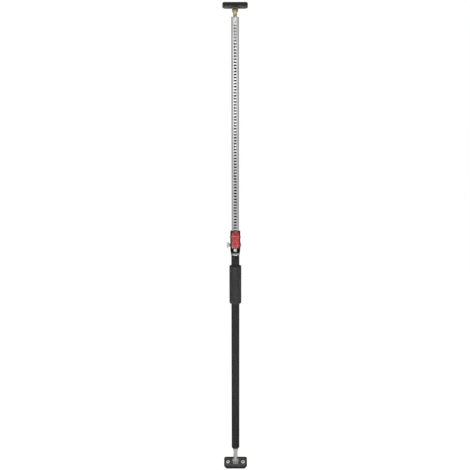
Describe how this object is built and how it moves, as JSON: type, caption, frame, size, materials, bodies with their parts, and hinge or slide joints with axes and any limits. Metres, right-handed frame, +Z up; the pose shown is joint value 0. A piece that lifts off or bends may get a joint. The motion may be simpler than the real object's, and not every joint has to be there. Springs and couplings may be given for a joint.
{
  "type": "telescopic prop",
  "caption": "Telescopic support prop: slotted steel tube with screw head sliding in a black tube, held by a red pawl lever and wing-nut clamp, with tilting rubber shoes.",
  "frame": {"origin": "on the tubes' common axis, at the level of the floor under the tilted foot shoe", "axes": "+Z up along the tubes; the lever faces -Y; the shoes' long sides lie along X"},
  "size_m": [0.092, 0.0629, 1.8125],
  "materials": {
    "black_paint": "black powder coat, satin",
    "red_paint": "red powder coat, semi-gloss",
    "zinc": "bright zinc plating",
    "galvanised": "galvanised steel tube",
    "yellow_zinc": "yellow passivated zinc",
    "rubber": "moulded black rubber",
    "foam": "black closed-cell foam",
    "spring_steel": "oiled spring steel",
    "hardened_steel": "blackened hardened steel",
    "nylon": "black nylon"
  },
  "bodies": {
    "outer": {"outer_tube": "black_paint", "latch_bracket": "black_paint", "tube_ferrule": "zinc", "hand_grip": "foam", "foot_stud": "zinc", "lever_pivot_pin": "zinc", "clamp_bolt": "zinc", "lever_spring": "spring_steel"},
    "inner": {"inner_tube": "galvanised", "spindle_nut": "zinc"},
    "guide": {"spindle_guide": "nylon"},
    "spindle": {"spindle": "yellow_zinc"},
    "head": {"head_fork": "yellow_zinc", "head_plate": "black_paint", "head_pad": "rubber", "head_pivot_pin": "zinc"},
    "foot": {"foot_fork": "zinc", "foot_plate": "black_paint", "foot_pad": "rubber", "foot_pivot_pin": "zinc"},
    "lever": {"release_lever": "red_paint", "pawl": "hardened_steel"},
    "washer": {"clamp_washer": "zinc"},
    "wing_nut": {"wing_nut": "zinc"}
  },
  "joints": [
    {"name": "tube_slide", "type": "slide", "parent": "outer", "child": "inner", "axis": [0, 0, 1], "range_m": [-0.638, 0.033]},
    {"name": "spindle_lift", "type": "slide", "parent": "inner", "child": "guide", "axis": [0, 0, 1], "range_m": [-0.0081, 0.0401]},
    {"name": "spindle_turn", "type": "hinge", "parent": "guide", "child": "spindle", "pos_m": [0, 0, 1.7], "axis": [0, 0, 1], "range_deg": [-720, 3600]},
    {"name": "head_tilt", "type": "hinge", "parent": "spindle", "child": "head", "pos_m": [0, 0, 1.7847], "axis": [1, 0, 0], "range_deg": [-35, 55]},
    {"name": "foot_tilt", "type": "hinge", "parent": "outer", "child": "foot", "pos_m": [0, 0, 0.0317], "axis": [1, 0, 0], "range_deg": [-75, 15]},
    {"name": "lever_press", "type": "hinge", "parent": "outer", "child": "lever", "pos_m": [0, -0.022, 0.95], "axis": [1, 0, 0], "range_deg": [-12, 6], "stiffness_Nm_per_rad": 0.5, "springref_deg": -12, "deforming": ["lever_spring"]},
    {"name": "washer_travel", "type": "slide", "parent": "outer", "child": "washer", "axis": [-1, 0, 0], "range_m": [0, 0.002]},
    {"name": "wing_nut_turn", "type": "hinge", "parent": "washer", "child": "wing_nut", "pos_m": [0, -0.0188, 0.918], "axis": [-1, 0, 0], "range_deg": [-1, 721]}
  ],
  "couplings": [
    {"joint": "spindle_lift", "follows": "spindle_turn", "m_per_rad": 0.00063662},
    {"joint": "wing_nut_turn", "follows": "washer_travel", "rad_per_m": 6283.2}
  ]
}
